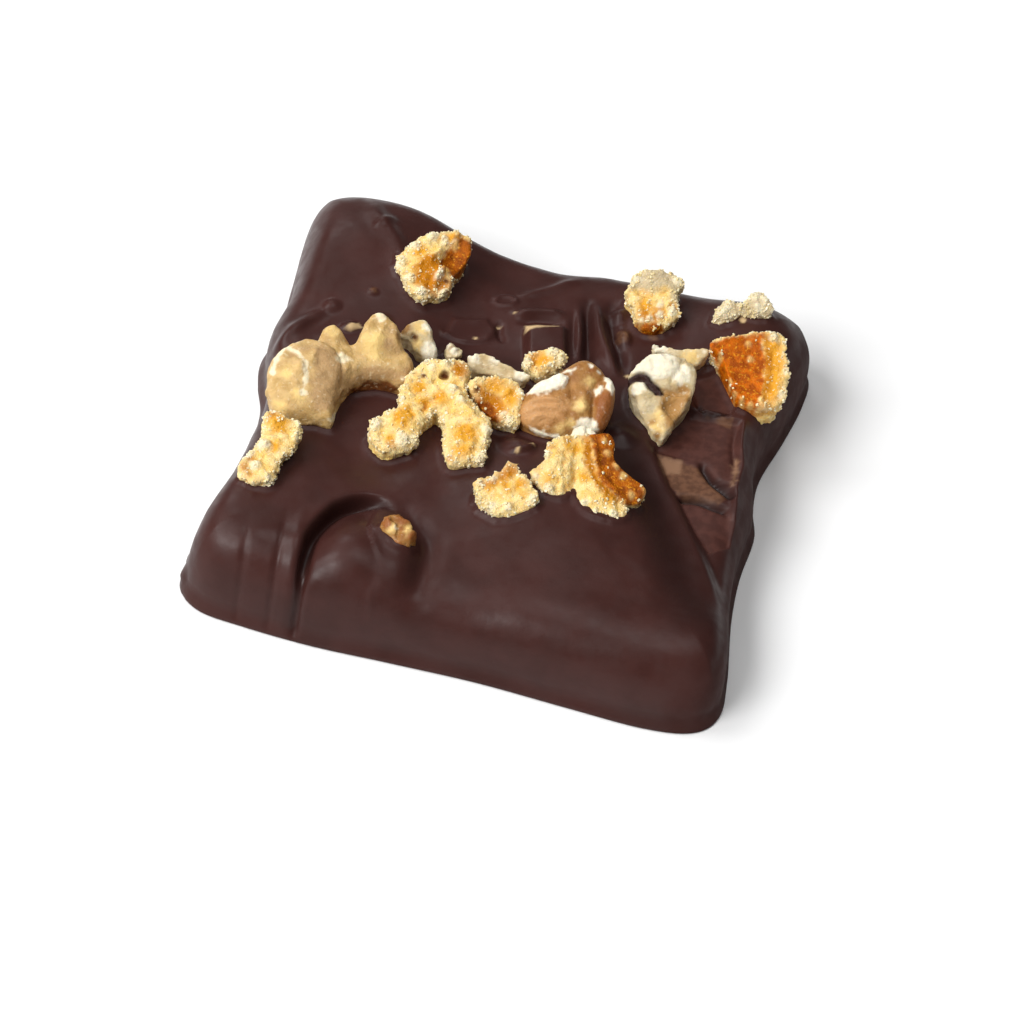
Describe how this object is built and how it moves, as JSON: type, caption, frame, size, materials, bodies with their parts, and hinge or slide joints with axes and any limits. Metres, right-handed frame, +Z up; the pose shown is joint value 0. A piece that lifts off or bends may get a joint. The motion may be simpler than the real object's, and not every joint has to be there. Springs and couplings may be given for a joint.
{
  "type": "walnut toffee square",
  "caption": "Square of toffee coated in dark chocolate, with walnut pieces and sugared candied orange peel set in its uneven top.",
  "frame": {"origin": "middle of the flat underside", "axes": "+Z up out of the topped side, +Y towards the raised corner's edge, +X to the right along the front edge"},
  "size_m": [0.065, 0.0681, 0.0171],
  "materials": {
    "dark_chocolate": "satin dark chocolate",
    "walnut": "matte, cream walnut flesh",
    "walnut_skin": "satin, brown walnut skin",
    "candied_peel": "sugared, pale yellow pith",
    "orange_rind": "sugared, moist orange rind"
  },
  "bodies": {
    "root": {"coated_square": "dark_chocolate", "walnut_bone": "walnut", "walnut_chip": "walnut", "walnut_flake": "walnut", "walnut_brown": "walnut_skin", "walnut_arrow": "walnut", "walnut_sliver": "walnut", "peel_left": "candied_peel", "peel_wishbone": "candied_peel", "peel_wedge": "orange_rind", "peel_nub": "candied_peel", "peel_corner": "candied_peel", "peel_back": "candied_peel", "sugared_crumbs": "candied_peel", "peel_right": "orange_rind", "peel_front": "candied_peel", "peel_middle": "candied_peel"}
  },
  "joints": []
}
